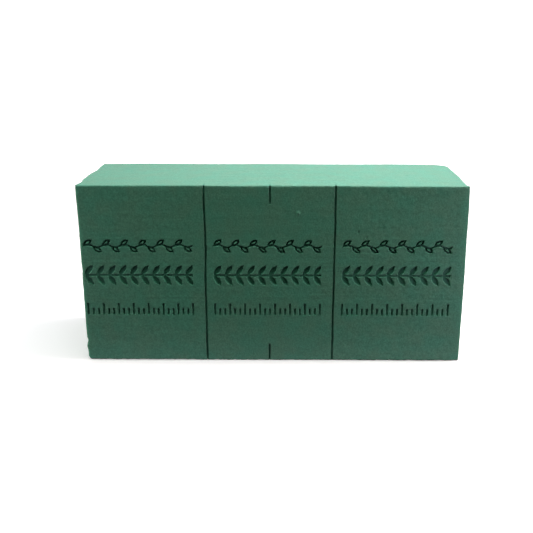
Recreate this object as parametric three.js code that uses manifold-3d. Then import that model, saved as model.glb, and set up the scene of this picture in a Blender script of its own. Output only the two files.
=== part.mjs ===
// A floral foam brick standing on its long narrow face.
// It is one block of open-cell foam, marked on the front for cutting into thirds and halves.
// Each portion between two marked cuts is a solid of its own.
// Millimetres. Origin at the centre of the base, +X along the length, +Y to the back, +Z up.
import * as THREE from "three";
import { mergeVertices } from "three/addons/utils/BufferGeometryUtils.js";
import Module from "manifold-3d";

// The block
const LENGTH = 230;
const DEPTH = 76;
const HEIGHT = 110;
const WORN_EDGE_RADIUS = 9; // the upright edge at the back right

// The cutting marks in the front face
const PORTION_LENGTH = 77.5; // from one full-height score to the next
const MARKS_SHIFT = -1.5; // middle of the marks, from the middle of the block
const SCORE_WIDTH = 1.1;
const SCORE_DEPTH = 3;
const HALF_MARK_HEIGHT = 10.5; // a short mark at the top and at the bottom
const PARTING_GAP = 0.3; // between two neighbouring portions

// The ornament pressed into each third, in three rows
const STAMP_DEPTH = 2.2;
const STAMP_LEFT_MARGIN = 4.8; // from the mark on its left to the ornament
const STAMP_RIGHT_MARGIN = 7.7; // from the ornament to the mark on its right
const VINE = { fromTop: 36.7, waves: 6, sway: 0.9, stroke: 1, leafLength: 6.4, leafWidth: 3.2, lean: 38 };
const BRANCH = { fromTop: 54.8, height: 12.3, leafPairs: 10, leafWidth: 3, lean: 53, rib: 1.2 };
const RULE = { fromTop: 76.4, height: 7.2, shortHeight: 4, divisions: 21, longEvery: 3, stroke: 1 };
const VINE_LEAF_INSET = 1.3; // from a vine leaf's tip to its middle island, as a share of the stroke

const CUT_CLEARANCE = 2; // how far a cutting solid stands out of the face that it cuts
const CURVE_STEPS = 3; // straight steps along each side of a leaf
const STEM_STEPS = 6; // straight steps along each wave of the vine
const EDGE_STEPS = 8; // straight steps around the worn edge

const LEFT = -LENGTH / 2;
const RIGHT = LENGTH / 2;
const FRONT = -DEPTH / 2;
const BACK = DEPTH / 2;
const LEFT_SCORE = MARKS_SHIFT - PORTION_LENGTH / 2;
const RIGHT_SCORE = MARKS_SHIFT + PORTION_LENGTH / 2;
const STAMP_LENGTH = PORTION_LENGTH - STAMP_LEFT_MARGIN - STAMP_RIGHT_MARGIN;

const wasm = await Module();
wasm.setup();

// A three.js geometry as a solid that can be joined and cut.
function toSolid(geometry) {
  geometry.deleteAttribute("normal");
  geometry.deleteAttribute("uv");
  const merged = mergeVertices(geometry, 1e-4);
  const mesh = new wasm.Mesh({
    numProp: 3,
    vertProperties: Float32Array.from(merged.attributes.position.array),
    triVerts: Uint32Array.from(merged.index.array),
  });
  return new wasm.Manifold(mesh);
}

function toGeometry(solid) {
  const mesh = solid.getMesh();
  const geometry = new THREE.BufferGeometry();
  geometry.setAttribute("position", new THREE.BufferAttribute(mesh.vertProperties, 3));
  geometry.setIndex(new THREE.BufferAttribute(mesh.triVerts, 1));
  geometry.computeVertexNormals();
  return geometry;
}

function box(x0, x1, y0, y1, z0, z1) {
  const geometry = new THREE.BoxGeometry(x1 - x0, y1 - y0, z1 - z0);
  geometry.translate((x0 + x1) / 2, (y0 + y1) / 2, (z0 + z1) / 2);
  return toSolid(geometry);
}

// The whole block: a plan outline with one worn corner, raised to the full height.
function block() {
  const plan = new THREE.Shape();
  plan.moveTo(LEFT, FRONT);
  plan.lineTo(RIGHT, FRONT);
  plan.lineTo(RIGHT, BACK - WORN_EDGE_RADIUS);
  plan.absarc(RIGHT - WORN_EDGE_RADIUS, BACK - WORN_EDGE_RADIUS, WORN_EDGE_RADIUS, 0, Math.PI / 2, false);
  plan.lineTo(LEFT, BACK);
  plan.closePath();
  return toSolid(
    new THREE.ExtrudeGeometry(plan, { depth: HEIGHT, bevelEnabled: false, curveSegments: EDGE_STEPS }),
  );
}

// A cutter for the front face: an outline in X and Z, sunk to a depth.
function frontCutter(outline, depth) {
  const geometry = new THREE.ExtrudeGeometry(outline, {
    depth: depth + CUT_CLEARANCE,
    bevelEnabled: false,
    curveSegments: CURVE_STEPS,
  });
  geometry.rotateX(Math.PI / 2);
  geometry.translate(0, FRONT + depth, 0);
  return toSolid(geometry);
}

// A pointed leaf from its stalk end, at an angle up from +X.
function leafOutline(x, z, length, width, angle) {
  const along = new THREE.Vector2(Math.cos(angle), Math.sin(angle));
  const across = new THREE.Vector2(-along.y, along.x);
  const middle = new THREE.Vector2(x, z).addScaledVector(along, length / 2);
  const tip = new THREE.Vector2(x, z).addScaledVector(along, length);
  const above = middle.clone().addScaledVector(across, width);
  const below = middle.clone().addScaledVector(across, -width);
  const leaf = new THREE.Shape();
  leaf.moveTo(x, z);
  leaf.quadraticCurveTo(below.x, below.y, tip.x, tip.y);
  leaf.quadraticCurveTo(above.x, above.y, x, z);
  return leaf;
}

function barOutline(x0, x1, z0, z1) {
  const bar = new THREE.Shape();
  bar.moveTo(x0, z0);
  bar.lineTo(x1, z0);
  bar.lineTo(x1, z1);
  bar.lineTo(x0, z1);
  bar.closePath();
  return bar;
}

// Top row: a swaying stem, with an outlined leaf on the outside of each bend.
function vineCutters(left) {
  const middle = HEIGHT - VINE.fromTop;
  const steps = VINE.waves * STEM_STEPS;
  const bendLength = STAMP_LENGTH / VINE.waves / 2;
  const sway = (step) => middle + VINE.sway * Math.sin((2 * Math.PI * step) / STEM_STEPS);
  const along = (step) => left + (STAMP_LENGTH * step) / steps;
  const stem = new THREE.Shape();
  stem.moveTo(along(0), sway(0) - VINE.stroke / 2);
  for (let step = 1; step <= steps; step += 1) {
    stem.lineTo(along(step), sway(step) - VINE.stroke / 2);
  }
  for (let step = steps; step >= 0; step -= 1) {
    stem.lineTo(along(step), sway(step) + VINE.stroke / 2);
  }
  stem.closePath();
  const cutters = [frontCutter(stem, STAMP_DEPTH)];
  const inset = VINE.stroke * VINE_LEAF_INSET;
  const lean = THREE.MathUtils.degToRad(VINE.lean);
  for (let bend = 0; bend < 2 * VINE.waves; bend += 1) {
    const side = bend % 2 === 0 ? 1 : -1;
    const angle = side * lean;
    const x = left + bend * bendLength;
    const island = {
      x: x + inset * Math.cos(angle),
      z: middle + inset * Math.sin(angle),
      length: VINE.leafLength - 2 * inset,
      width: VINE.leafWidth - 2 * VINE.stroke,
    };
    const leaf = leafOutline(x, middle, VINE.leafLength, VINE.leafWidth, angle);
    leaf.holes.push(leafOutline(island.x, island.z, island.length, island.width, angle));
    cutters.push(frontCutter(leaf, STAMP_DEPTH));
  }
  return cutters;
}

// Middle row: a straight rib with bold leaves in pairs.
function branchCutters(left) {
  const middle = HEIGHT - BRANCH.fromTop;
  const lean = THREE.MathUtils.degToRad(BRANCH.lean);
  const leafLength = BRANCH.height / 2 / Math.sin(lean);
  const run = leafLength * Math.cos(lean);
  const pitch = (STAMP_LENGTH - run) / (BRANCH.leafPairs - 1);
  const right = left + STAMP_LENGTH;
  const rib = barOutline(left, right, middle - BRANCH.rib / 2, middle + BRANCH.rib / 2);
  const cutters = [frontCutter(rib, STAMP_DEPTH)];
  for (let pair = 0; pair < BRANCH.leafPairs; pair += 1) {
    for (const side of [1, -1]) {
      const x = left + pair * pitch;
      const leaf = leafOutline(x, middle, leafLength, BRANCH.leafWidth, side * lean);
      cutters.push(frontCutter(leaf, STAMP_DEPTH));
    }
  }
  return cutters;
}

// Bottom row: a plain rule of upright strokes, each third one long.
function ruleCutters(left) {
  const foot = HEIGHT - RULE.fromTop - RULE.height / 2;
  const cutters = [];
  for (let mark = 0; mark <= RULE.divisions; mark += 1) {
    const x = left + RULE.stroke / 2 + (mark * (STAMP_LENGTH - RULE.stroke)) / RULE.divisions;
    const height = mark % RULE.longEvery === 0 ? RULE.height : RULE.shortHeight;
    const stroke = barOutline(x - RULE.stroke / 2, x + RULE.stroke / 2, foot, foot + height);
    cutters.push(frontCutter(stroke, STAMP_DEPTH));
  }
  return cutters;
}

function ornamentCutters() {
  const cutters = [];
  for (const third of [-1, 0, 1]) {
    const left = LEFT_SCORE + third * PORTION_LENGTH + STAMP_LEFT_MARGIN;
    cutters.push(...vineCutters(left), ...branchCutters(left), ...ruleCutters(left));
  }
  return cutters;
}

// A score or a half mark, standing from z0 to z1.
function markCutter(x, z0, z1) {
  const outline = barOutline(x - SCORE_WIDTH / 2, x + SCORE_WIDTH / 2, z0, z1);
  return frontCutter(outline, SCORE_DEPTH);
}

function markCutters() {
  const below = -CUT_CLEARANCE;
  const above = HEIGHT + CUT_CLEARANCE;
  return [
    markCutter(LEFT_SCORE, below, above),
    markCutter(RIGHT_SCORE, below, above),
    markCutter(MARKS_SHIFT, below, HALF_MARK_HEIGHT),
    markCutter(MARKS_SHIFT, HEIGHT - HALF_MARK_HEIGHT, above),
  ];
}

// The stretch of the marked block from x0 to x1, over its whole depth and height.
function portion(marked, x0, x1) {
  const out = CUT_CLEARANCE;
  return marked.intersect(box(x0, x1, FRONT - out, BACK + out, -out, HEIGHT + out));
}

function foamMaterial() {
  return new THREE.MeshStandardMaterial({ color: 0x5f9077, roughness: 0.95, metalness: 0 });
}

function brick() {
  let marked = block();
  for (const cutter of [...markCutters(), ...ornamentCutters()]) {
    marked = marked.subtract(cutter);
  }
  const half = PARTING_GAP / 2;
  const past = CUT_CLEARANCE;
  const stretches = {
    left_third: [LEFT - past, LEFT_SCORE - half],
    centre_left_sixth: [LEFT_SCORE + half, MARKS_SHIFT - half],
    centre_right_sixth: [MARKS_SHIFT + half, RIGHT_SCORE - half],
    right_third: [RIGHT_SCORE + half, RIGHT + past],
  };
  const group = new THREE.Group();
  for (const [name, [x0, x1]] of Object.entries(stretches)) {
    const mesh = new THREE.Mesh(toGeometry(portion(marked, x0, x1)), foamMaterial());
    mesh.name = name;
    group.add(mesh);
  }
  return group;
}

export default brick();
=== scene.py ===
"""A dry floral foam brick in a white studio.

The block stands on its long narrow face. Its front face carries two full-height scores, a half mark
at the top and the bottom, and three rows of pressed ornament in each third. Each portion between two
marks is a piece of its own, and the pieces meet exactly, as the foam of an uncut block does.

The foam's surface is worked out in millimetres and handed to Blender in metres. A point of it starts
on the plain box, at its rest place, and each kind of cut or wear then moves it a little.
"""

import math

import bpy
import numpy as np
from mathutils import Matrix, Vector


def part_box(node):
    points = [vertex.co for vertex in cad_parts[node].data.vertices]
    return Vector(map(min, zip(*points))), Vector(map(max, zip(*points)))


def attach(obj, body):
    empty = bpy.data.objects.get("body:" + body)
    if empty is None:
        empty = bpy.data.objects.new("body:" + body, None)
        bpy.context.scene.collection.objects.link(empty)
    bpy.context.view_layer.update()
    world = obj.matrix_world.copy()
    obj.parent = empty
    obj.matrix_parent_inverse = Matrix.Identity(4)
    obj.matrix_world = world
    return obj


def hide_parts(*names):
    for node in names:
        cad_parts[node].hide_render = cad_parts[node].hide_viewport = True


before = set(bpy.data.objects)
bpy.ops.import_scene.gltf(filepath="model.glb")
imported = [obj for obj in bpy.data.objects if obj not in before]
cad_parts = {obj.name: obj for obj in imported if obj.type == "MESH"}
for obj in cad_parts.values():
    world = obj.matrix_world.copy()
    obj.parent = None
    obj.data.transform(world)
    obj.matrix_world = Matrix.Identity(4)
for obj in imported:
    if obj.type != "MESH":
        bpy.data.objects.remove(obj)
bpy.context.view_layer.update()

MM = 0.001
X, Y, Z = 0, 1, 2
PORTIONS = ["left_third", "centre_left_sixth", "centre_right_sixth", "right_third"]

# The block's own box and its parting planes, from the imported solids, in millimetres
BOXES = [[np.array(corner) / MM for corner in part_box(name)] for name in PORTIONS]
LEFT, FRONT, FOOT = BOXES[0][0]
RIGHT, BACK, TOP = BOXES[-1][1]
LOW_CORNER = np.array([LEFT, FRONT, FOOT])
HIGH_CORNER = np.array([RIGHT, BACK, TOP])
PLANES = [LEFT] + [(a[1][0] + b[0][0]) / 2 for a, b in zip(BOXES, BOXES[1:])] + [RIGHT]
LEFT_SCORE, HALF_MARK, RIGHT_SCORE = PLANES[1:-1]
PORTION_LENGTH = RIGHT_SCORE - LEFT_SCORE
TOUCHING = 1e-6  # a point this near to a side of the box lies on it

# Mesh spacing
FRONT_STEP = 0.31
PLAIN_STEP = 0.7  # above and below the ornament
DEPTH_STEP = 0.8
MARK_STEP = 0.14  # beside a mark, where the groove's walls are
MARK_REACH = 1.12
STAMP_SURROUND = 1.5  # how far the close spacing goes on above and below the ornament
SHARP_ANGLE = math.radians(42)

# Strides along X, Y and Z: each side of a portion uses one grid line in so many. A side that lies in
# a parting plane is hidden.
FRONT_STRIDES = (1, 1, 1)
BACK_STRIDES = (3, 1, 3)
TOP_STRIDES = (2, 1, 1)
FOOT_STRIDES = (4, 2, 1)
END_STRIDES = (1, 1, 3)
HIDDEN_STRIDES = (1, 8, 12)

# The marks. A spread is how much a size varies along the mark, as a share of it, and a length is
# about how soon it changes.
SCORE_WIDTH = 1.1
SCORE_DEPTH = 2.2
HALF_MARK_HEIGHT = 10.5
MARK_WALL = 0.3  # how far a groove's wall leans, from rim to floor
MARK_WANDER = 0.22  # how far a mark strays from its straight line
MARK_WANDER_LENGTH = 14.0
MARK_WIDTH_SPREAD = 0.12
MARK_WIDTH_LENGTH = 3.0
MARK_DEPTH_SPREAD = 0.15
MARK_DEPTH_LENGTH = 5.0
MARK_RUN_OUT = 1.5  # a mark gets shallower this close to the top and the foot
MARK_END_DEPTH = 0.55  # what is left of its depth there
HALF_MARK_RAGGED = 0.5  # how far a half mark's inner end strays
HALF_MARK_RAGGED_LENGTH = 1.5
HALF_MARK_WALL = 0.8  # how far its inner end leans

# The ornament
STAMP_LEFT_MARGIN = 4.8
STAMP_RIGHT_MARGIN = 7.7
STAMP_LENGTH = PORTION_LENGTH - STAMP_LEFT_MARGIN - STAMP_RIGHT_MARGIN
STAMP_WALL = 0.5  # how far a stroke's wall leans, from rim to floor
STAMP_RAGGED = 0.12  # how far a stroke's rim strays, where foam has crumbled
STAMP_RAGGED_LENGTH = 1.1
VINE_MIDDLE = TOP - 36.7
VINE_HALF_HEIGHT = 4.6
VINE_DEPTH = 1.9
VINE_WAVES = 6
VINE_SWAY = 0.9
VINE_STROKE = 1.0
VINE_LEAF_LENGTH = 6.4
VINE_LEAF_WIDTH = 3.2
VINE_LEAF_INSET = 1.3  # from a leaf's tip to its island, as a share of the stroke
VINE_LEAN = math.radians(38)
BRANCH_MIDDLE = TOP - 54.8
BRANCH_HEIGHT = 12.3
BRANCH_DEPTH = 1.4
BRANCH_LEAF_PAIRS = 10
BRANCH_LEAF_WIDTH = 3.0
BRANCH_LEAN = math.radians(53)
BRANCH_RIB = 1.2
RULE_MIDDLE = TOP - 76.4
RULE_HEIGHT = 7.2
RULE_SHORT_HEIGHT = 4.0
RULE_DEPTH = 1.4
RULE_DIVISIONS = 21
RULE_LONG_EVERY = 3
RULE_STROKE = 1.0
PRESS_REACH = 9.0  # how far behind the face the foam gives way to a stroke

# How dark a groove is coloured: partly crushed foam, partly painted shade in the recess
CRUSHED_AND_SHADED_FROM = 0.6 * BRANCH_DEPTH  # a groove this deep gets the full darkening, crushed foam and painted shade, all over
PALE_FLOOR = 0.32  # how much less darkened the flat floor of a leaf is, as the painted shade lies mainly on the walls
PALE_FLOOR_SPREAD = 0.15
PALE_FLOOR_LENGTH = 1.6
PALE_FLOOR_BAND = 0.15  # how near to the full depth counts as floor

# Rounded edges: (first axis, its place, second axis, its place, radius)
BLUNT_EDGES = [
    (X, RIGHT, Y, BACK, 9.0),
    (X, LEFT, Y, BACK, 0.9),
    (X, LEFT, Y, FRONT, 1.5),
    (X, RIGHT, Y, FRONT, 0.8),
    (X, LEFT, Z, FOOT, 2.4),
    (Y, FRONT, Z, FOOT, 0.9),
    (Y, FRONT, Z, TOP, 0.35),
]
BLUNT = 0.12  # how far every outer edge is worn in, these too
CRUMBLED = 0.25  # and how much farther in places
CRUMBLED_LENGTH = 2.6
CRUMBLED_FINE = 0.05
CRUMBLED_FINE_LENGTH = 0.9

# The front face falls back towards the ends
EASE_DEPTH = 0.6
EASE_REACH = 6.0

# The ends. OUT and IN are how far an end stands out of the plain box or into it, from a height (FROM)
# and over a height (RISE), or up to a height (UP_TO).
END_REACH = 12.0  # how far into the block an end's shape is felt
END_TOP_FROM = 60.0  # the left end's waves and the right end's hollow grow above this height
END_TOP_RISE = 50.0
END_LOW_SHARE = 0.2  # what there is of them below it
RIGHT_END_OUT = 0.5
RIGHT_END_TOP_OUT = 0.2  # and this much more towards the top
RIGHT_END_BULGES = [(45.0, 25.0, 0.3)]  # (height up the end, width, how far out)
RIGHT_TOP_FROM = 95.0
RIGHT_TOP_RISE = 15.0
RIGHT_TOP_IN = 0.4
HOLLOW_DEPTH = 1.3
HOLLOW_START = 3.0  # how far behind the front edge it is at its full depth
HOLLOW_KEPT = 5.0  # and how far back it keeps it
HOLLOW_FADE = 30.0  # over what distance it then fades
HOLLOW_FADED_BY = 0.8
# (distance back from the front face, width, how far in)
LEFT_END_WAVES = [(51.0, 9.0, 0.5), (38.0, 7.0, -0.4), (10.0, 6.0, 1.5)]
LEFT_END_OUT = 0.7
LEFT_TOP_FROM = 80.0
LEFT_TOP_RISE = 30.0
LEFT_TOP_OUT = 0.6
LEFT_FOOT_UP_TO = 25.0
LEFT_FOOT_RISE = 20.0
LEFT_FOOT_IN = 0.3
LEFT_OUT_FADE = 40.0  # over what distance behind the front face all that fades
LEFT_OUT_FADED_BY = 0.8
# (height up the front edge, width, how far out)
LEFT_KNOBS = [(9.0, 1.4, 0.7), (12.5, 1.5, -0.5), (58.0, 2.0, -0.4)]
LEFT_KNOB_LENGTH = 1.6
LEFT_KNOB_THICKNESS = 4.0

# Out of square: how far each face swings or lifts
FRONT_SWING = 0.7
BACK_SWING = 0.8
TOP_CROWN = 0.3
TOP_TILT = 0.15
FRONT_LIFT = 0.25
LEFT_FRONT_LIFT = 0.4
LEFT_LIFT_FROM = 0.15  # to the left of the middle, as a share of half the length
LEFT_LIFT_RISE = 0.25

# The saw's drift: (axis, how far, over what length, seed)
DRIFTS = [(X, 0.15, 38.0, 51), (Y, 0.20, 42.0, 52), (Z, 0.20, 40.0, 54)]

# Open cells and saw lines at the surface
FINE_CELLS = 0.05
FINE_CELL_SIZE = 0.8
COARSE_CELLS = 0.06
COARSE_CELL_SIZE = 2.1
SAW_LINES = 0.06
SAW_LINE_WIDTH = 1.3
SAW_LINE_STRETCH = [0.04, 1.0, 1.0]

# Burst bubbles, and a bit of foam stuck to the face
PLAIN_PITS = [(51.0, FRONT, 82.5), (56.0, FRONT, 79.0), (83.0, -4.0, TOP)]
PIT_COUNTS = [(X, LEFT, 5), (X, RIGHT, 5), (Y, BACK, 9), (Z, FOOT, 9)]
PIT_RADII = (0.4, 0.65)
PIT_DEPTH = 1.6  # as a share of its radius
PIT_REACH = 2.5  # as a share of its radius
CRUMB = np.array([15.3, FRONT, 93.7])
CRUMB_HEIGHT = 1.1
CRUMB_RADIUS = 0.75

# The foam's colours, and the sizes of what varies over it, in millimetres
TEAL = (0.071, 0.237, 0.151, 1.0)
OLIVE = (0.085, 0.227, 0.144, 1.0)
# The grooves' colour: partly crushed foam, partly painted shade in the recesses
CRUSHED_AND_SHADED = (0.050, 0.195, 0.123, 1.0)
MOTTLE_SIZE = 11.0
SHADE_SIZE = 1.0
SHADE_DARK, SHADE_LIGHT = 0.77, 1.23
CELL_SIZE = 0.55
CELL_DEPTH = 0.12
CELL_STRENGTH = 0.5

# The camera: place in millimetres, angles in degrees
CAMERA_PLACE = (7.8, FRONT - 455.8, 203.1)
CAMERA_YAW, CAMERA_PITCH, CAMERA_ROLL = -1.42, 17.27, -0.2
CAMERA_LENS = 53.63

# The studio, in metres
FLOOR_SIZE = 12.0
SURROUND_RADIUS = 5.9
SURROUND_GLOW = 1.05
FLOOR_COLOUR = (0.98, 0.83, 0.87)
FLOOR_GLOW_NEAR, FLOOR_GLOW_FAR = 0.26, 1.0
FLOOR_FADE_FROM, FLOOR_FADE_TO = 0.25, 0.8
WORLD_GLOW = 0.04


def smooth(t):
    """0 below 0, 1 above 1, and a smooth rise between them."""
    t = np.clip(t, 0.0, 1.0)
    return t * t * (3.0 - 2.0 * t)


def bell(distance, width):
    return np.exp(-((distance / width) ** 2))


def bells(along, waves):
    """The sum of a few bells, each with its place, its width and its height."""
    return sum(height * bell(along - place, width) for place, width, height in waves)


def noise(points, size, seed):
    """Smooth noise from -1 to 1, one value a point, with features about size across."""
    cells = 64
    above_zero = 1000.0
    table = np.random.default_rng(seed).uniform(-1.0, 1.0, (cells, cells, cells))
    scaled = points / size + above_zero
    whole = np.floor(scaled).astype(int)
    part = smooth(scaled - whole)
    total = np.zeros(len(points))
    for corner in np.ndindex(2, 2, 2):
        weight = np.prod(np.where(corner, part, 1.0 - part), axis=1)
        i, j, k = ((whole + corner) % cells).T
        total += weight * table[i, j, k]
    return total


def line_noise(along, size, seed):
    return noise(np.column_stack([along, np.zeros_like(along), np.zeros_like(along)]), size, seed)


# ---- The pressed front face: how deep each stroke and groove goes at (x, z) ----


def stroke_depth(outside, depth):
    """Depth of a stroke from the distance outside its outline, negative within it."""
    return depth * smooth(0.5 - outside / STAMP_WALL)


def bar(x, z, x0, x1, z0, z1, depth):
    outside = np.maximum(np.maximum(x0 - x, x - x1), np.maximum(z0 - z, z - z1))
    return stroke_depth(outside, depth)


def outside_leaf(x, z, stalk, length, width, angle):
    """Distance outside a pointed leaf that starts at its stalk, at an angle up from the block's length."""
    along = ((x - stalk[0]) * math.cos(angle) + (z - stalk[1]) * math.sin(angle)) / length
    across = -(x - stalk[0]) * math.sin(angle) + (z - stalk[1]) * math.cos(angle)
    half_width = 2.0 * width * along * (1.0 - along)
    past_ends = np.maximum(-along, along - 1.0) * length
    return np.maximum(np.abs(across) - half_width, past_ends)


def vine(x, z, left):
    """A swaying stem with an outlined leaf on the outside of each bend."""
    bend_length = STAMP_LENGTH / VINE_WAVES / 2
    turn = math.pi / bend_length
    stem = VINE_MIDDLE + VINE_SWAY * np.sin(turn * (x - left))
    past_ends = np.maximum(left - x, x - left - STAMP_LENGTH)
    outside = np.maximum(np.abs(z - stem) - VINE_STROKE / 2, past_ends)
    inset = VINE_STROKE * VINE_LEAF_INSET
    inner_length = VINE_LEAF_LENGTH - 2 * inset
    inner_width = VINE_LEAF_WIDTH - 2 * VINE_STROKE
    for bend in range(2 * VINE_WAVES):
        angle = VINE_LEAN if bend % 2 == 0 else -VINE_LEAN
        stalk = (left + bend * bend_length, VINE_MIDDLE)
        inner_stalk = (stalk[0] + inset * math.cos(angle), stalk[1] + inset * math.sin(angle))
        rim = outside_leaf(x, z, stalk, VINE_LEAF_LENGTH, VINE_LEAF_WIDTH, angle)
        island = outside_leaf(x, z, inner_stalk, inner_length, inner_width, angle)
        outside = np.minimum(outside, np.maximum(rim, -island))
    return stroke_depth(outside, VINE_DEPTH)


def branch(x, z, left):
    """A straight rib with bold leaves in pairs."""
    length = BRANCH_HEIGHT / 2 / math.sin(BRANCH_LEAN)
    pitch = (STAMP_LENGTH - length * math.cos(BRANCH_LEAN)) / (BRANCH_LEAF_PAIRS - 1)
    low = BRANCH_MIDDLE - BRANCH_RIB / 2
    depth = bar(x, z, left, left + STAMP_LENGTH, low, low + BRANCH_RIB, BRANCH_DEPTH)
    for pair in range(BRANCH_LEAF_PAIRS):
        for side in (1.0, -1.0):
            stalk = (left + pair * pitch, BRANCH_MIDDLE)
            outside = outside_leaf(x, z, stalk, length, BRANCH_LEAF_WIDTH, side * BRANCH_LEAN)
            depth = np.maximum(depth, stroke_depth(outside, BRANCH_DEPTH))
    return depth


def rule(x, z, left):
    """Upright strokes at equal distances, with a long one at regular places."""
    foot = RULE_MIDDLE - RULE_HEIGHT / 2
    depth = np.zeros_like(x)
    for mark in range(RULE_DIVISIONS + 1):
        start = left + mark * (STAMP_LENGTH - RULE_STROKE) / RULE_DIVISIONS
        height = RULE_HEIGHT if mark % RULE_LONG_EVERY == 0 else RULE_SHORT_HEIGHT
        stroke = bar(x, z, start, start + RULE_STROKE, foot, foot + height, RULE_DEPTH)
        depth = np.maximum(depth, stroke)
    return depth


def ornament(x, z):
    """Three rows in each third, with slightly ragged rims."""
    flat = np.column_stack([x, z, np.zeros_like(x)])
    x = x + STAMP_RAGGED * noise(flat, STAMP_RAGGED_LENGTH, seed=71)
    z = z + STAMP_RAGGED * noise(flat, STAMP_RAGGED_LENGTH, seed=72)
    depth = np.zeros_like(x)
    margin = 2 * STAMP_WALL
    for third in (-1, 0, 1):
        left = LEFT_SCORE + third * PORTION_LENGTH + STAMP_LEFT_MARGIN
        near = (x > left - margin) & (x < left + STAMP_LENGTH + margin)
        for row in (vine, branch, rule):
            depth[near] = np.maximum(depth[near], row(x[near], z[near], left))
    return depth


def mark_groove(x, z, place, seed):
    """A narrow groove down the face, a little uneven. Its middle, in a parting plane, stays straight."""
    off_plane = np.abs(x - place)
    stray = MARK_WANDER * line_noise(z, MARK_WANDER_LENGTH, seed) * smooth(off_plane / MARK_WALL)
    off_line = np.abs(x - place - stray)
    width = SCORE_WIDTH * (1.0 + MARK_WIDTH_SPREAD * line_noise(z, MARK_WIDTH_LENGTH, seed + 1))
    depth = SCORE_DEPTH * (1.0 + MARK_DEPTH_SPREAD * line_noise(z, MARK_DEPTH_LENGTH, seed + 2))
    from_end = np.minimum(TOP - z, z - FOOT) / MARK_RUN_OUT
    depth *= MARK_END_DEPTH + (1.0 - MARK_END_DEPTH) * smooth(from_end)
    return depth * smooth(0.5 - (off_line - width / 2) / MARK_WALL)


def half_mark_groove(x, z):
    """Only at the top and the bottom of the face."""
    ragged = HALF_MARK_RAGGED * line_noise(x, HALF_MARK_RAGGED_LENGTH, seed=31)
    outside = np.minimum(TOP - z, z - FOOT) - HALF_MARK_HEIGHT + ragged
    return mark_groove(x, z, HALF_MARK, seed=24) * smooth(0.5 - outside / HALF_MARK_WALL)


def pressed(x, z):
    """How deep the front face is pressed in at each point."""
    left_score = mark_groove(x, z, LEFT_SCORE, seed=11)
    right_score = mark_groove(x, z, RIGHT_SCORE, seed=17)
    return np.maximum.reduce([ornament(x, z), half_mark_groove(x, z), left_score, right_score])


def crushed_and_shaded_share(depth, rest):
    """How much of the groove colour a point gets, from 0 on whole foam to 1 on the walls and floor of a
    groove: partly crushed foam, partly painted shade. The floor of a leaf gets less of it and is paler.
    """
    share = smooth(depth / CRUSHED_AND_SHADED_FROM)
    pale = PALE_FLOOR + PALE_FLOOR_SPREAD * noise(rest, PALE_FLOOR_LENGTH, seed=81)
    return share * (1.0 - pale * bell(depth - BRANCH_DEPTH, PALE_FLOOR_BAND))


# ---- The block's own form: each function moves the points p, knowing their rest places ----


def at_sides(rest):
    """Which points lie on the low side and on the high side of the box, along each axis."""
    return rest < LOW_CORNER + TOUCHING, rest > HIGH_CORNER - TOUCHING


def outward(axis, place):
    """Which way is out at a side of the block: 1 or -1 along its axis."""
    return 1.0 if place == HIGH_CORNER[axis] else -1.0


def blunt_edge(p, first, first_place, second, second_place, radius):
    """One edge of the block, worn to a quarter round."""
    first_side, second_side = outward(first, first_place), outward(second, second_place)
    a = (p[:, first] - first_place) * first_side + radius
    b = (p[:, second] - second_place) * second_side + radius
    inside = (a > 0) & (b > 0)
    a, b = a[inside], b[inside]
    pull = np.maximum(a, b) / np.hypot(a, b)
    p[inside, first] = first_place + first_side * (a * pull - radius)
    p[inside, second] = second_place + second_side * (b * pull - radius)


def strong_at_top(height):
    return END_LOW_SHARE + (1.0 - END_LOW_SHARE) * smooth((height - END_TOP_FROM) / END_TOP_RISE)


def trim_right_end(p, rest):
    """Cut by eye: it bulges halfway up, and towards the top it hollows behind its front edge."""
    from_front = rest[:, Y] - FRONT
    height = rest[:, Z] - FOOT
    faded = HOLLOW_FADED_BY * smooth((from_front - HOLLOW_KEPT) / HOLLOW_FADE)
    hollow = HOLLOW_DEPTH * smooth(from_front / HOLLOW_START) * (1.0 - faded)
    bulge = bells(height, RIGHT_END_BULGES)
    bulge -= RIGHT_TOP_IN * smooth((height - RIGHT_TOP_FROM) / RIGHT_TOP_RISE)
    out = RIGHT_END_OUT + bulge + strong_at_top(height) * (RIGHT_END_TOP_OUT - hollow)
    p[:, X] += out * smooth((rest[:, X] - RIGHT + END_REACH) / END_REACH)


def trim_left_end(p, rest):
    """Cut by eye: it flares out at the top, and waves behind its front edge, which is nicked."""
    from_front = rest[:, Y] - FRONT
    height = rest[:, Z] - FOOT
    waves = strong_at_top(height) * bells(from_front, LEFT_END_WAVES)
    flare = LEFT_END_OUT + LEFT_TOP_OUT * smooth((height - LEFT_TOP_FROM) / LEFT_TOP_RISE)
    flare -= LEFT_FOOT_IN * smooth((LEFT_FOOT_UP_TO - height) / LEFT_FOOT_RISE)
    flare *= 1.0 - LEFT_OUT_FADED_BY * smooth(from_front / LEFT_OUT_FADE)
    p[:, X] += (waves - flare) * smooth((LEFT + END_REACH - rest[:, X]) / END_REACH)
    at_front_edge = bell(rest[:, X] - LEFT, LEFT_KNOB_LENGTH) * bell(from_front, LEFT_KNOB_THICKNESS)
    p[:, X] -= bells(height, LEFT_KNOBS) * at_front_edge


def ease_front(p, rest):
    """The front face falls back a little towards both ends, where it has been handled."""
    from_end = np.minimum(rest[:, X] - LEFT, RIGHT - rest[:, X])
    at_front = 1.0 - smooth((rest[:, Y] - FRONT) / PRESS_REACH)
    p[:, Y] += EASE_DEPTH * at_front * np.maximum(1.0 - from_end / EASE_REACH, 0.0) ** 2


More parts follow.
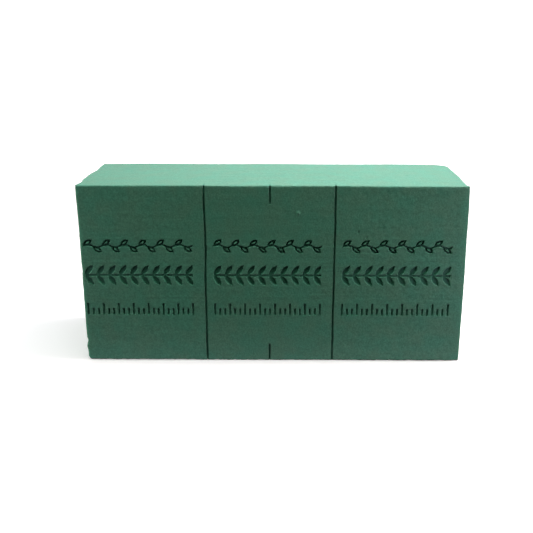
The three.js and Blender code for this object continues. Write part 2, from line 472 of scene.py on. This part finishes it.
def skew(p, rest):
    """The block isn't quite square: it is deeper and taller at its left end, and its top is crowned."""
    back = smooth((rest[:, Y] - FRONT) / (BACK - FRONT))
    front = 1.0 - back
    high = (rest[:, Z] - FOOT) / (TOP - FOOT)
    along = rest[:, X] / RIGHT
    p[:, Y] += along * (FRONT_SWING * front - BACK_SWING * back)
    p[:, Z] += high * (TOP_CROWN * (1.0 - along**2) - TOP_TILT * along + FRONT_LIFT * front)
    p[:, Z] += high * LEFT_FRONT_LIFT * front * smooth((-along - LEFT_LIFT_FROM) / LEFT_LIFT_RISE)


def wear_edges(p, rest):
    """Every outer edge is slightly blunt, and crumbled here and there."""
    at_low, at_high = at_sides(rest)
    on_edge = (at_low | at_high).sum(axis=1) >= 2
    worn = BLUNT + CRUMBLED * np.maximum(noise(rest, CRUMBLED_LENGTH, seed=41), 0.0) ** 2
    worn += CRUMBLED_FINE * noise(rest, CRUMBLED_FINE_LENGTH, seed=42)
    worn = np.where(on_edge, worn, 0.0)[:, None]
    p += worn * (at_low.astype(float) - at_high.astype(float))


def drift(p, rest):
    """The saw's slow drift over the faces. The foot stays flat."""
    lift = (rest[:, Z] - FOOT) / (TOP - FOOT)
    for axis, reach, length, seed in DRIFTS:
        share = lift if axis == Z else 1.0
        p[:, axis] += reach * share * noise(rest, length, seed)


def pit_depth(rest):
    """Burst bubbles are small round pits, and the crumb stands out of the face."""
    pits = np.random.default_rng(91)
    places = [np.array(place) for place in PLAIN_PITS]
    for axis, side, count in PIT_COUNTS:
        for place in pits.uniform(LOW_CORNER, HIGH_CORNER, (count, 3)):
            place[axis] = side
            places.append(place)
    depth = np.zeros(len(rest))
    for place in places:
        radius = pits.uniform(*PIT_RADII)
        off = rest - place
        near = (np.abs(off) < PIT_REACH * radius).all(axis=1)
        depth[near] += PIT_DEPTH * radius * bell(np.linalg.norm(off[near], axis=1), radius)
    return depth - CRUMB_HEIGHT * bell(np.linalg.norm(rest - CRUMB, axis=1), CRUMB_RADIUS)


def grain(p, rest):
    """Open cells at the surface, and saw lines along the four long faces."""
    at_low, at_high = at_sides(rest)
    out = at_high.astype(float) - at_low.astype(float)
    cells = FINE_CELLS * noise(rest, FINE_CELL_SIZE, seed=61)
    cells += COARSE_CELLS * noise(rest, COARSE_CELL_SIZE, seed=62)
    lines = SAW_LINES * noise(rest * SAW_LINE_STRETCH, SAW_LINE_WIDTH, seed=63)
    lines *= out[:, X] == 0.0
    p += out * (cells + lines - pit_depth(rest))[:, None]
    p[:, Z] = np.maximum(p[:, Z], FOOT)


def foam_surface(rest):
    """Where the foam's surface lies for points on the plain box, and how much groove darkening, crushed
    foam and painted shade, it gets at each.
    """
    p = rest.copy()
    depth = pressed(rest[:, X], rest[:, Z])
    depth *= 1.0 - smooth((rest[:, Y] - FRONT) / PRESS_REACH)
    p[:, Y] += depth
    for edge in BLUNT_EDGES:
        blunt_edge(p, *edge)
    for change in (trim_right_end, trim_left_end, ease_front, skew, wear_edges, drift, grain):
        change(p, rest)
    return p, crushed_and_shaded_share(depth, rest)


# ---- Meshes: each portion is a box of grid faces that share their edges ----


def steps(start, end, spacing):
    return np.linspace(start, end, max(2, round((end - start) / spacing)) + 1)


def length_steps(x0, x1):
    """Grid lines along a portion, closer together beside a mark."""
    first, last = x0, x1
    parts = []
    if x0 > LEFT:
        first = x0 + MARK_REACH
        parts.append(steps(x0, first, MARK_STEP)[:-1])
    if x1 < RIGHT:
        last = x1 - MARK_REACH
    parts.append(steps(first, last, FRONT_STEP))
    if x1 < RIGHT:
        parts.append(steps(last, x1, MARK_STEP)[1:])
    return np.concatenate(parts)


def height_steps():
    """Grid lines up the block, closer together over the ornament."""
    low = RULE_MIDDLE - RULE_HEIGHT / 2 - STAMP_SURROUND
    high = VINE_MIDDLE + VINE_HALF_HEIGHT + STAMP_SURROUND
    stretches = [(FOOT, low, PLAIN_STEP), (low, high, FRONT_STEP), (high, TOP, PLAIN_STEP)]
    return np.unique(np.concatenate([steps(*stretch) for stretch in stretches]))


def thinned(count, stride):
    """Every stride-th grid line, with the last one."""
    lines = list(range(0, count, stride))
    if lines[-1] != count - 1:
        lines.append(count - 1)
    return lines


def grid_side(counts, u_axis, v_axis, level, strides):
    """The polygons of one side of the box, as lists of (i, j, k).

    They go round from u towards v, which settles the way that the side faces. A cell at the rim is a fan
    of triangles, one to each step along the rim, so that two sides share every edge between them.
    """
    u_lines = thinned(counts[u_axis], strides[u_axis])
    v_lines = thinned(counts[v_axis], strides[v_axis])
    u_last, v_last = u_lines[-1], v_lines[-1]
    level_axis = X + Y + Z - u_axis - v_axis

    def point(u, v):
        place = [0, 0, 0]
        place[u_axis], place[v_axis], place[level_axis] = u, v, level
        return tuple(place)

    def run(start, end, at_rim):
        step = 1 if end > start else -1
        return range(start, end, step) if at_rim else (start,)

    polygons = []
    for u0, u1 in zip(u_lines, u_lines[1:]):
        for v0, v1 in zip(v_lines, v_lines[1:]):
            outline = [point(u, v0) for u in run(u0, u1, v0 == 0)]
            outline += [point(u1, v) for v in run(v0, v1, u1 == u_last)]
            outline += [point(u, v1) for u in run(u1, u0, v1 == v_last)]
            outline += [point(u0, v) for v in run(v1, v0, u0 == 0)]
            if len(outline) == 4:
                polygons.append(outline)
                continue
            inner = outline.index(point(u0 or u1, v0 or v1))
            outline = outline[inner:] + outline[:inner]
            polygons += [[outline[0], a, b] for a, b in zip(outline[1:], outline[2:])]
    return polygons


def portion_polygons(counts, at_left_end, at_right_end):
    """The front, the back, the top, the foot, and the sides to the left and the right, all facing out."""
    x_last, y_last, z_last = (count - 1 for count in counts)
    return (
        grid_side(counts, X, Z, 0, FRONT_STRIDES)
        + grid_side(counts, Z, X, y_last, BACK_STRIDES)
        + grid_side(counts, X, Y, z_last, TOP_STRIDES)
        + grid_side(counts, Y, X, 0, FOOT_STRIDES)
        + grid_side(counts, Z, Y, 0, END_STRIDES if at_left_end else HIDDEN_STRIDES)
        + grid_side(counts, Y, Z, x_last, END_STRIDES if at_right_end else HIDDEN_STRIDES)
    )


def portion_mesh(name, x0, x1):
    lines = [length_steps(x0, x1), steps(FRONT, BACK, DEPTH_STEP), height_steps()]
    polygons = portion_polygons([len(line) for line in lines], x0 == LEFT, x1 == RIGHT)
    index = {}
    for polygon in polygons:
        for key in polygon:
            index.setdefault(key, len(index))
    keys = np.array(list(index))
    rest = np.column_stack([lines[axis][keys[:, axis]] for axis in (X, Y, Z)])
    points, crushed_and_shaded = foam_surface(rest)
    faces = [[index[key] for key in polygon] for polygon in polygons]
    mesh = bpy.data.meshes.new(name)
    mesh.from_pydata((points * MM).tolist(), [], faces)
    mesh.polygons.foreach_set("use_smooth", [True] * len(mesh.polygons))
    mesh.set_sharp_from_angle(angle=SHARP_ANGLE)
    # Per point: how much of the groove darkening, crushed foam and painted shade, the material mixes in
    attribute = mesh.attributes.new("crushed_and_shaded", "FLOAT", "POINT")
    attribute.data.foreach_set("value", crushed_and_shaded.astype(np.float32))
    mesh.update()
    return mesh


# ---- Material ----


def foam_material():
    """Dry phenolic foam: dead matt, fine open cells, faint mottling, darker in the grooves, partly where
    it is crushed and partly as painted shade.
    """
    material = bpy.data.materials.new("floral_foam")
    material.use_nodes = True
    nodes = material.node_tree.nodes
    links = material.node_tree.links
    shader = nodes["Principled BSDF"]
    shader.inputs["Roughness"].default_value = 0.95
    shader.inputs["Specular IOR Level"].default_value = 0.06
    shader.inputs["Sheen Weight"].default_value = 0.1
    shader.inputs["Sheen Roughness"].default_value = 0.5

    place = nodes.new("ShaderNodeTexCoord").outputs["Object"]

    def noise_node(size, detail, roughness):
        node = nodes.new("ShaderNodeTexNoise")
        node.inputs["Scale"].default_value = 1.0 / (size * MM)
        node.inputs["Detail"].default_value = detail
        node.inputs["Roughness"].default_value = roughness
        links.new(place, node.inputs["Vector"])
        return node.outputs["Fac"]

    def mix(factor, first, second, blend="MIX"):
        node = nodes.new("ShaderNodeMix")
        node.data_type = "RGBA"
        node.blend_type = blend
        sockets = (node.inputs[0], node.inputs[6], node.inputs[7])  # the factor and the two colours
        for value, socket in zip((factor, first, second), sockets):
            if isinstance(value, bpy.types.NodeSocket):
                links.new(value, socket)
            else:
                socket.default_value = value
        return node.outputs[2]

    def ramp(value, low, high, start, end):
        node = nodes.new("ShaderNodeMapRange")
        for socket, number in zip(node.inputs[1:5], (low, high, start, end)):
            socket.default_value = number
        links.new(value, node.inputs[0])
        return node.outputs[0]

    mottle = ramp(noise_node(MOTTLE_SIZE, 2.0, 0.5), 0.35, 0.65, 0.0, 1.0)
    colour = mix(mottle, TEAL, OLIVE)
    shade = ramp(noise_node(SHADE_SIZE, 3.0, 0.7), 0.3, 0.7, SHADE_DARK, SHADE_LIGHT)
    grey = nodes.new("ShaderNodeCombineColor")
    for socket in grey.inputs[:3]:
        links.new(shade, socket)
    colour = mix(1.0, colour, grey.outputs[0], "MULTIPLY")
    # Painted shade in the grooves, mixed with the darker colour of crushed foam
    crushed_and_shaded = nodes.new("ShaderNodeAttribute")
    crushed_and_shaded.attribute_name = "crushed_and_shaded"
    colour = mix(crushed_and_shaded.outputs["Fac"], colour, CRUSHED_AND_SHADED)
    links.new(colour, shader.inputs["Base Color"])

    cells = nodes.new("ShaderNodeTexVoronoi")
    cells.inputs["Scale"].default_value = 1.0 / (CELL_SIZE * MM)
    links.new(place, cells.inputs["Vector"])
    bump = nodes.new("ShaderNodeBump")
    bump.inputs["Strength"].default_value = CELL_STRENGTH
    bump.inputs["Distance"].default_value = CELL_DEPTH * MM
    links.new(cells.outputs["Distance"], bump.inputs["Height"])
    links.new(bump.outputs["Normal"], shader.inputs["Normal"])
    return material


def add_brick():
    """The four portions, as pieces of the visual model."""
    foam = foam_material()
    pieces = []
    for name, x0, x1 in zip(PORTIONS, PLANES, PLANES[1:]):
        mesh = portion_mesh(name + "_foam", x0, x1)
        mesh.materials.append(foam)
        piece = bpy.data.objects.new(name + "_foam", mesh)
        bpy.context.scene.collection.objects.link(piece)
        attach(piece, "root")
        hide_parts(name)
        pieces.append(piece)
    return pieces


# ---- Studio ----


def add_camera():
    """A little above the block and just right of its middle, looking down on it."""
    data = bpy.data.cameras.new("camera")
    data.sensor_width = 36.0
    data.lens = CAMERA_LENS
    camera = bpy.data.objects.new("camera", data)
    bpy.context.scene.collection.objects.link(camera)
    yaw, pitch, roll = (math.radians(angle) for angle in (CAMERA_YAW, CAMERA_PITCH, CAMERA_ROLL))
    forward = Vector((math.sin(yaw) * math.cos(pitch), math.cos(yaw) * math.cos(pitch), -math.sin(pitch)))
    level = Vector((math.cos(yaw), -math.sin(yaw), 0.0))
    raised = level.cross(forward)
    right = math.cos(roll) * level + math.sin(roll) * raised
    up = math.cos(roll) * raised - math.sin(roll) * level
    turn = Matrix((right, up, -forward)).transposed().to_4x4()
    camera.matrix_world = Matrix.Translation(Vector(CAMERA_PLACE) * MM) @ turn
    bpy.context.scene.camera = camera


def white_surface(name, colour, glow):
    material = bpy.data.materials.new(name)
    material.use_nodes = True
    shader = material.node_tree.nodes["Principled BSDF"]
    shader.inputs["Base Color"].default_value = (*colour, 1.0)
    shader.inputs["Roughness"].default_value = 1.0
    shader.inputs["Specular IOR Level"].default_value = 0.0
    shader.inputs["Emission Color"].default_value = (1.0, 1.0, 1.0, 1.0)
    shader.inputs["Emission Strength"].default_value = glow
    return material


def table_surface():
    """White, and evenly bright out to the horizon, beyond the reach of the soft boxes."""
    material = white_surface("white_table", FLOOR_COLOUR, 0.0)
    nodes = material.node_tree.nodes
    links = material.node_tree.links
    place = nodes.new("ShaderNodeTexCoord")
    length = nodes.new("ShaderNodeVectorMath")
    length.operation = "LENGTH"
    fade = nodes.new("ShaderNodeMapRange")
    fade.interpolation_type = "SMOOTHSTEP"
    limits = (FLOOR_FADE_FROM, FLOOR_FADE_TO, FLOOR_GLOW_NEAR, FLOOR_GLOW_FAR)
    for socket, value in zip(fade.inputs[1:5], limits):
        socket.default_value = value
    links.new(place.outputs["Object"], length.inputs[0])
    links.new(length.outputs["Value"], fade.inputs[0])
    links.new(fade.outputs[0], nodes["Principled BSDF"].inputs["Emission Strength"])
    return material


def add_stage():
    """A white table and a white surround. Neither throws its own light back on to the foam."""
    centre = (0.0, 0.0, 0.0)
    bpy.ops.mesh.primitive_plane_add(size=FLOOR_SIZE, location=centre)
    floor = bpy.context.object
    floor.name = "floor"
    floor.data.materials.append(table_surface())
    bpy.ops.mesh.primitive_uv_sphere_add(
        segments=48, ring_count=24, radius=SURROUND_RADIUS, location=centre
    )
    surround = bpy.context.object
    surround.name = "surround"
    surround.data.materials.append(white_surface("white_surround", (0.0, 0.0, 0.0), SURROUND_GLOW))
    for thing in (floor, surround):
        thing.visible_diffuse = False
        thing.visible_glossy = False
    surround.visible_shadow = False
    world = bpy.data.worlds.new("dim_room")
    bpy.context.scene.world = world
    world.use_nodes = True
    background = world.node_tree.nodes["Background"]
    background.inputs["Color"].default_value = (1.0, 1.0, 1.0, 1.0)
    background.inputs["Strength"].default_value = WORLD_GLOW
    return floor


def add_soft_light(name, place, aim, size, power, tint, falls_on=()):
    """A rectangular soft box, never seen itself. It may be flagged off all but a few things."""
    data = bpy.data.lights.new(name, "AREA")
    data.shape = "RECTANGLE"
    data.size, data.size_y = size
    data.energy = power
    data.color = tint
    light = bpy.data.objects.new(name, data)
    bpy.context.scene.collection.objects.link(light)
    light.location = place
    light.rotation_euler = (Vector(aim) - Vector(place)).to_track_quat("-Z", "Y").to_euler()
    light.visible_camera = False
    if falls_on:
        light.light_linking.receiver_collection = bpy.data.collections.new(name + "_falls_on")
        for thing in falls_on:
            light.light_linking.receiver_collection.objects.link(thing)


def add_key_lights(pieces, floor):
    """The key is overhead to the right. The foam and the table each get their own tint of it."""
    place, aim, size = (0.14, 0.02, 0.42), (0.05, 0.0, 0.055), (0.18, 0.18)
    add_soft_light("key", place, aim, size, 2.47, (1.0, 0.70, 0.866), pieces)
    add_soft_light("table_key", place, aim, size, 2.2, (0.94, 1.0, 0.98), [floor])


def add_fill_lights():
    """Broad soft boxes above and in front, and white cards around the block."""
    middle = (0.0, 0.0, 0.055)
    add_soft_light("second_key", (-0.02, 0.04, 0.45), middle, (0.3, 0.18), 0.78, (0.72, 0.97, 1.0))
    add_soft_light("front_key", (0.1, -0.4, 0.9), middle, (0.8, 0.4), 2.95, (0.82, 1.0, 0.91))
    add_soft_light("left_card", (-0.8, -0.06, 0.2), middle, (0.5, 0.4), 5.0, (0.88, 1.0, 0.92))
    add_soft_light("right_card", (0.8, -0.06, 0.2), middle, (0.5, 0.4), 5.5, (0.92, 1.0, 0.93))
    add_soft_light("back_card", (-0.4, 1.4, 0.6), middle, (1.0, 0.8), 8.0, (1.0, 1.0, 1.0))


def add_near_lights(pieces):
    """What comes back at the front face from close by: at its two ends, and up from the table."""
    front = FRONT * MM
    left_end = (LEFT * MM, front, 0.05)
    right_end = (RIGHT * MM, front, 0.05)
    left_place, right_place = (-0.175, -0.11, 0.055), (0.175, -0.115, 0.055)
    add_soft_light("left_corner", left_place, left_end, (0.06, 0.12), 0.017, (0.97, 0.63, 0.9), pieces)
    add_soft_light("right_corner", right_place, right_end, (0.07, 0.12), 0.049, (0.97, 0.61, 0.88), pieces)
    near_foot = (0.0, front - 0.0125, 0.0006)
    straight_up = (0.0, front - 0.0125, 1.0)
    add_soft_light("table_bounce", near_foot, straight_up, (0.235, 0.025), 0.008, (1.0, 0.65, 0.9))


def set_view():
    settings = bpy.context.scene.view_settings
    settings.view_transform = "Standard"
    settings.look = "None"


add_camera()
pieces = add_brick()
floor = add_stage()
add_key_lights(pieces, floor)
add_fill_lights()
add_near_lights(pieces)
set_view()

bpy.context.view_layer.update()
